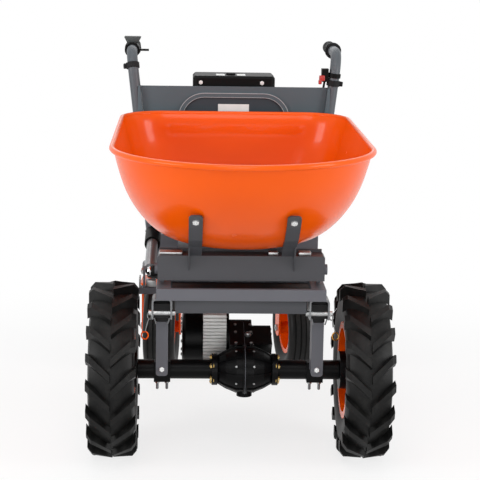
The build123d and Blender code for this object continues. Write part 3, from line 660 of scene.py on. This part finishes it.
# Bolts: name, body, finish, width across flats, height of the head, places
strap_face = (0, -math.sqrt(0.5), -math.sqrt(0.5))
strap_spots = [(at(x, -262.0, 604.6), strap_face) for x in (-104, 104)]
bolts("strap_bolts", "tipping_tub", bright_zinc, 14.0, 7.0, strap_spots)
flange_spots = []
for x, facing in ((-62, leftward), (91, rightward)):
    flange_spots += circle_spots(at(x, 0, axle_z), facing, radius=29.5, count=6, start=30)
bolts("flange_bolts", "chassis", yellow_zinc, 10.0, 7.0, flange_spots)
bowl_radius = 52.2
bowl_spots = []
for number in range(8):
    angle = math.radians(22.5 + 45 * number)
    outward = Vector((0, math.cos(angle), math.sin(angle)))
    bowl_spots += [(at(x, 0, axle_z) + outward * (bowl_radius / 1000), outward) for x in (-6, 35)]
bolts("bowl_bolts", "chassis", zinc, 4.8, 3.6, bowl_spots)
leg_spots = [(at(x, -74, 226), front) for x in (-leg_x, leg_x)]
bolts("leg_bolts", "chassis", bright_zinc, 11.0, 5.5, leg_spots)
clamp_places = [sign * leg_x + step for sign in (-1, 1) for step in (-11, 11)]
bolts("clamp_nuts", "chassis", zinc, 10.0, 11.0, [(at(x, -12, 181), below) for x in clamp_places])
motor_end_spots = circle_spots(at(-132, motor_y, motor_z), leftward, radius=44.0, count=6)
bolts("motor_end_bolts", "chassis", zinc, 7.0, 4.0, motor_end_spots)
gear_cover_spots = circle_spots(at(80, motor_y, motor_z), rightward, radius=18.0, count=5)
bolts("gear_cover_bolts", "chassis", zinc, 6.5, 4.0, gear_cover_spots)
case_spots = [(at(x, y, slope_start + slope_rise * y), slope_up) for x in (-6, 30) for y in (10, 60, 95)]
bolts("gear_case_bolts", "chassis", zinc, 6.5, 4.5, case_spots)
bolts("anchor_bolt", "chassis", zinc, 13.0, 7.0, [(at(actuator_bolt_x, rod_eye_y, rod_eye_z), leftward)])
bolts("tail_bolt", "tipping_tub", zinc, 11.0, 6.0, [(at(actuator_bolt_x, 500, 431), leftward)])
plate_corners = [(x, y) for x in (-42, 42) for y in (-42, 42)]
for side, sign in sides:
    wheel = f"front_{side}_wheel"
    outward = (sign, 0, 0)
    wheel_spots = circle_spots(at(sign * wheel_face_x, 0, axle_z), outward, radius=36.0, count=5, start=90)
    bolts(f"{side}_wheel_bolts", wheel, zinc, 14.0, 8.0, wheel_spots)
    bolts(f"{side}_hub_nut", wheel, zinc, 24.0, 12.0, [(at(sign * hub_face_x, 0, axle_z), outward)])
    plate_spots = [(at(sign * caster_x + x, caster_y + y, caster_plate_z), above) for x, y in plate_corners]
    bolts(f"{side}_caster_plate_bolts", "chassis", zinc, 11.0, 7.0, plate_spots)

# Casters: axle nuts, bearing rings and road tyres turned with their forks. Front wheels: valve stems
caster_turn = {"left": -4.0, "right": 9.0}
fork_face = 54
half_tread = [
    (72.5, 28.5), (76, 30), (84, 37), (96, 43), (106, 43.6), (114, 41), (119.5, 35.5), (121, 31), (118.4, 30),
    (118.4, 27), (122.4, 26), (123.4, 16), (120.4, 15), (120.4, 12), (124, 11), (124.8, 2.5), (121.6, 1.6),
]
caster_tread = half_tread + [(radius, -across) for radius, across in half_tread[::-1]]
bearing_line = [(34.4, -6), (37, -6), (38, -5), (38, 5), (37, 6), (34.4, 6)]
valve_line = [(5, 0), (5, 3), (4, 4), (4, 13), (3, 14), (3, 20), (2.4, 21)]
for side, sign in sides:
    turn = math.radians(caster_turn[side])
    axle_way = Vector((math.cos(turn), math.sin(turn), 0))
    trail_way = Vector((-math.sin(turn), math.cos(turn), 0))
    centre = at(sign * caster_x, caster_y, caster_axle_z) + trail_way * (caster_trail / 1000)
    nut_spots = [(centre + axle_way * way * (fork_face / 1000), axle_way * way) for way in (-1, 1)]
    bolts(f"{side}_caster_nuts", f"caster_{side}", zinc, 17.0, 8.0, nut_spots)
    tread = put(spun(caster_tread, 80), centre, axle_way)
    settle(tread, f"caster_{side}_road_tyre", f"caster_{side}_wheel", tyre_rubber, angle=50)
    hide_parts(f"caster_{side}_tyre")
    bearing = put(spun(bearing_line, 48), at(sign * caster_x, caster_y, caster_bearing_z), above)
    settle(bearing, f"caster_{side}_bearing_ring", f"caster_{side}", grip_rubber)
    valve = put(turned(valve_line, 20), at(sign * wheel_face_x, 62.2, 267.2), (sign, 0, 0))
    settle(valve, f"{side}_valve_stem", f"front_{side}_wheel", grip_rubber)

# Driven axle: gasket lines of the castings, breather; a black sheet in the crossmember's slot as painted
# shade
gasket_line = [(57.6, -0.5), (58.5, -0.5), (58.5, 0.5), (57.6, 0.5)]
gasket = put(spun(gasket_line, 72), at(casting_seam_x, 0, axle_z), rightward)
top_gasket = put(slab((1.0, 118, 1.2), 0.2, 1), at(casting_seam_x, 48, 275.2), slope_up)
settle(join([gasket, top_gasket]), "casting_gasket", "chassis", frame_grey)
breather_line = [(8, 0), (8, 2), (6.4, 2.6), (6.4, 6), (5.6, 7.4), (3, 8)]
breather = put(turned(breather_line, 24), at(23.2, 46, 274.5), slope_up)
settle(breather, "gear_breather", "chassis", zinc)
shade_sheet = put(slab((310, 68, 2), 0.6, 2), at(0, -72, 420.6))
settle(shade_sheet, "slot_painted_shade", "chassis", black_plastic)

# Linchpins that hang on the clevis pins, with the black blocks and hoops of the clevises
loop_finish = {"left": orange_gloss, "right": brass}
for side, sign in sides:
    eye = put(wire_ring(radius=8, thickness=1.3), at(sign * 205, -94, 357), (sign, -0.7, 0.1))
    link = wire(at(sign * 207, -95, 350), at(sign * 215, -93, 320), thickness=1.3)
    settle(join([eye, link]), f"{side}_linchpin", "chassis", zinc)
    loop = put(wire_ring(radius=8.5, thickness=1.7), at(sign * 215.5, -93, 311), (0.5 * sign, -1, 0.2))
    black_block = put(slab((27, 14, 20), 3.5), at(sign * leg_x, -84, 351))
    settle(black_block, f"{side}_clevis_black_block", "chassis", grip_rubber)
    hoop = []
    for way in (-1, 1):
        hoop_top = at(sign * leg_x + way * 17.5, -101, 354)
        hoop_foot = at(sign * leg_x + way * 13, -99, 339)
        hoop.append(wire(hoop_top, hoop_foot, thickness=1.7))
    settle(join(hoop), f"{side}_clevis_hoop", "chassis", dull_zinc)
    settle(loop, f"{side}_linchpin_loop", "chassis", loop_finish[side])

# Tipping gear: boot on the rod's eye, bracket at the cross bar, pads under the tub, bolt heads in its floor
boot_line = [(7, -10.2), (10.5, -9.6), (12.6, -7), (13.4, -3), (13.4, 3), (12.6, 7), (10.5, 9.6), (7, 10.2)]
boot = put(turned(boot_line, 36), at(-209.5, rod_eye_y, rod_eye_z), rightward)
settle(boot, "rod_eye_boot", "actuator_rod_body", grip_rubber, angle=60)
end_plate = put(slab((4, 24, 26), 1.2), at(-233.8, rod_eye_y, 378.6))
foot_block = put(slab((24, 20, 18), 2.0), at(-207, rod_eye_y, 374.8))
settle(join([end_plate, foot_block]), "anchor_bracket", "chassis", zinc)
pad_places = [
    ((22, 20, 8), (71, -78, 499.8)),
    ((28, 20, 8), (142, -78, 499.8)),
    ((52, 26, 7), (-158, -76, 499.3)),
]
pads = [put(slab(size, 1.5), at(*place)) for size, place in pad_places]
settle(join(pads), "cradle_pads", "tipping_tub", zinc)
dome = turned([(9.5, 0), (9.2, 1.2), (7.6, 2.8), (5, 3.9), (2, 4.3)], 28)
floor_spots = [(at(x, y, 508.8), above) for x in (-75, 75) for y in (40, 200, 360)]
settle(join(copies(dome, floor_spots)), "tub_floor_bolts", "tipping_tub", zinc)

# Grips with raised rings
ring_count = 14
ring_pitch = 7.4
first_ring = 16
grip_line = [(14.2, 0), (21.3, 0), (22, 0.8), (22, 9.2), (21.3, 10), (17.4, 12)]
for number in range(ring_count):
    start = first_ring + number * ring_pitch
    grip_line += [(16.2, start), (16.2, start + 1.2), (17.4, start + 2.2), (17.4, start + 6.0)]
grip_line += [(17.5, 124), (17.0, 127), (15.0, 129), (4.7, 129), (4.7, 123.4), (14.2, 123.4)]
for side, sign in sides:
    grip = put(spun(grip_line, 48), at(sign * handle_x, 715, handle_z), back)
    settle(grip, f"{side}_ribbed_grip", "chassis", grip_rubber, angle=40)
    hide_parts(f"grip_{side}")

# Cable bands on the handles, each with its buckle on the outside
handle_rise = (0.112, 0, 0.994)
band_line = [(14.1, -7.5), (16.8, -7.5), (17.8, -6.5), (17.8, 6.5), (16.8, 7.5), (14.1, 7.5)]
for side, sign, place, axis in (("left", -1, at(-267.6, 603.2, 855), (-0.105, 0.345, 0.933)),
                                ("right", 1, at(262.4, 600, 815), handle_rise)):
    band = put(spun(band_line, 40), place, axis)
    buckle = put(slab((9, 11, 13), 2.0), place + Vector((sign * 0.0195, 0, -0.002)), axis)
    settle(join([band, buckle]), f"{side}_cable_band", "chassis", grip_rubber)

# Display, tapered over its clamp, and the clamp and toggle of the switch
case = slab((45, 25.6, 17), 2.5)
pick(case, lambda centre, normal: centre.z < -0.005 and normal.z < -0.1)
bpy.ops.transform.resize(value=(0.72, 0.9, 1))
bpy.ops.object.mode_set(mode="OBJECT")
put(case, at(-handle_x, display_y, 916.4))
neck = put(slab((27, 20, 12), 2.0), at(-handle_x, display_y, 904.6))
clamp_line = [(14.1, -12.6), (19.2, -12.6), (20, -11.6), (20, 11.6), (19.2, 12.6), (14.1, 12.6)]
clamp = put(spun(clamp_line, 48), at(-handle_x, display_y, handle_z), back)
display = settle(join([case, neck, clamp]), "display_unit", "chassis", screen_grey)
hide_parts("display")
screen = put(slab((37, 18, 1.6), 0.6, 2), at(-handle_x, display_y, 925.0))
settle(screen, "display_screen", "chassis", screen_glass)
switch_clamp = spun([(14.1, -6), (16, -6), (16.8, -5), (16.8, 5), (16, 6), (14.1, 6)], 40)
put(switch_clamp, at(264.7, 600, 835), handle_rise)
settle(switch_clamp, "switch_clamp", "chassis", black_plastic)
toggle_root = put(slab((15, 9, 15), 2.5), at(231, 587, 829))
toggle_tip = put(slab((9, 8, 12), 2.5), at(226, 585, 819))
toggle = settle(join([toggle_root, toggle_tip]), "switch_toggle", "chassis", red_plastic)
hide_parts("switch_rocker")

# Battery: lid knob, cover strips, front bolts, side ribs, rear cover with socket and lock
knob = put(turned([(11.6, 0), (12.6, 0.8), (12.6, 4.4), (11.2, 5.6), (4, 6)], 32), at(-8, 650, 828.8))
settle(knob, "battery_knob", "chassis", black_plastic)
strips = [put(slab((23, 36, 2), 0.7), at(x, 645, 829.4)) for x in (-35.5, 19.5)]
settle(join(strips), "battery_cover_strips", "chassis", pale_enamel)
bolts("battery_bolts", "chassis", pale_enamel, 10.0, 6.0, [(at(x, 610.2, 812), front) for x in (-88, 74)])
rib_places = [at(x, y, 690) for x in (-109.4, 109.4) for y in (634, 652, 670, 688, 706)]
ribs = [put(slab((4, 6, 190), 1.2, 2), place) for place in rib_places]
settle(join(ribs), "battery_ribs", "chassis", black_plastic)
cover_margin = 9
cover_dip = 2
cover = slab((176, 5, 176), 1.8)
pick(cover, lambda centre, normal: normal.y > 0.9)
bpy.ops.mesh.inset(thickness=cover_margin / 1000, depth=0)
bpy.ops.mesh.extrude_region_move(TRANSFORM_OT_translate={"value": (0, -cover_dip / 1000, 0)})
bpy.ops.object.mode_set(mode="OBJECT")
settle(put(cover, at(0, 731.4, 694)), "battery_rear_cover", "chassis", black_plastic)
socket_line = [(15, 0), (16, 1), (16, 5), (14.5, 6), (13, 9), (9, 10)]
socket = put(turned(socket_line, 32), at(48, battery_back, socket_z), back)
settle(socket, "charge_socket_cap", "chassis", grip_rubber)
lock_line = [(12, 0), (12.6, 0.8), (12.6, 3), (11, 4.2), (7.6, 4.4), (7.2, 3.2)]
lock = put(turned(lock_line, 32), at(-48, battery_back, socket_z), back)
key_slot = put(slab((2.4, 3, 9), 0.6, 1), at(-48, 734.6, socket_z))
settle(join([lock, key_slot]), "battery_lock", "chassis", zinc)

# Rear panel: folded edges over the handles, a blank plate, and the arch with its beads in light grey as
# painted highlight and a dark plate in its recess as painted shade
panel_edge_bottom = 640.0
panel_edge_top = 802.5
panel_edge_outside = 253.0
panel_edge_inside_top = 247.5
panel_edge_inside_bottom = 229.0
panel_edge_round = 1.6
panel_edge_front = 584.6
panel_edge_back = 597.9
for side, sign in sides:
    bpy.ops.mesh.primitive_cube_add(size=1)
    edge = bpy.context.object
    for vertex in edge.data.vertices:
        high = vertex.co.z > 0
        across = panel_edge_outside
        if vertex.co.x * sign < 0:
            across = panel_edge_inside_top if high else panel_edge_inside_bottom
        y = panel_edge_back if vertex.co.y > 0 else panel_edge_front
        vertex.co = at(sign * across, y, panel_edge_top if high else panel_edge_bottom)
    only(edge)
    bpy.ops.object.mode_set(mode="EDIT")
    bpy.ops.mesh.select_all(action="SELECT")
    bpy.ops.mesh.bevel(offset=panel_edge_round / 1000, segments=3, affect="EDGES")
    bpy.ops.mesh.normals_make_consistent(inside=False)
    bpy.ops.object.mode_set(mode="OBJECT")
    settle(edge, f"{side}_panel_edge", "chassis", panel_grey)
plate = put(slab((82, 1.6, 62), 0.5, 2), at(-1, 597.4, 725.5))
settle(plate, "blank_plate", "chassis", pale_enamel)

# Light grey wires round the arch: painted highlight lines on its edges
bead_y = 592.0
outer_bead = bead(half=147.3, low=640.7, high=785.3, corner=69.3, y=bead_y, thickness=1.0)
settle(outer_bead, "arch_outer_highlight_bead", "chassis", painted_highlight_grey)
inner_bead = bead(half=136.7, low=651.3, high=774.7, corner=58.7, y=bead_y, thickness=0.7)
settle(inner_bead, "arch_inner_highlight_bead", "chassis", painted_highlight_grey)
# Dark plate in the arch's recess: painted shade
recess_width = 271.6
recess_height = 121.6
recess_corner = 57.8
recess_thickness = 0.6
bpy.ops.mesh.primitive_plane_add(size=1)
recess = bpy.context.object
recess.scale = (recess_width / 1000, recess_height / 1000, 1)
bpy.ops.object.transform_apply(location=True, rotation=True, scale=True)
bpy.ops.object.mode_set(mode="EDIT")
bpy.ops.mesh.select_all(action="SELECT")
bpy.ops.mesh.bevel(offset=recess_corner / 1000, segments=12, affect="VERTICES")
bpy.ops.mesh.select_all(action="SELECT")
bpy.ops.mesh.extrude_region_move(TRANSFORM_OT_translate={"value": (0, 0, recess_thickness / 1000)})
bpy.ops.mesh.select_all(action="SELECT")
bpy.ops.mesh.normals_make_consistent(inside=False)
bpy.ops.object.mode_set(mode="OBJECT")
settle(put(recess, at(0, 598.0, 713), front), "arch_recess_painted_shade", "chassis", painted_shade_recess_grey)

# Lower member: a thin dark sheet on its front face as painted shade. Axle clamps: thread ends
skin = put(slab((293, 1.6, 31), 0.5, 2), at(0, -106.2, 382))
settle(skin, "lower_member_painted_shade", "chassis", painted_shade_grey)
threads = [wire(at(x, -12, 182), at(x, -12, 160), thickness=3.2) for x in clamp_places]
settle(join(threads), "clamp_thread_ends", "chassis", dull_zinc)

# Motor: flat fins on a block, the outer ones narrower
fin_pitch = 8.1
fin_half_width = 65
full_fins = 6
fins = [put(slab((54, 108, 108), 8.0), at(motor_x, motor_y, motor_z))]
for number in range(-7, 9):
    fin_width = 2 * (fin_half_width - max(0, abs(number) - full_fins) * 2.5)
    fins.append(put(slab((55, fin_width, 6.3), 0.7, 2), at(motor_x, motor_y, motor_z + fin_pitch * number)))
motor = settle(join(fins), "finned_motor_block", "chassis", cast_silver_painted_light)
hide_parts("motor_body")
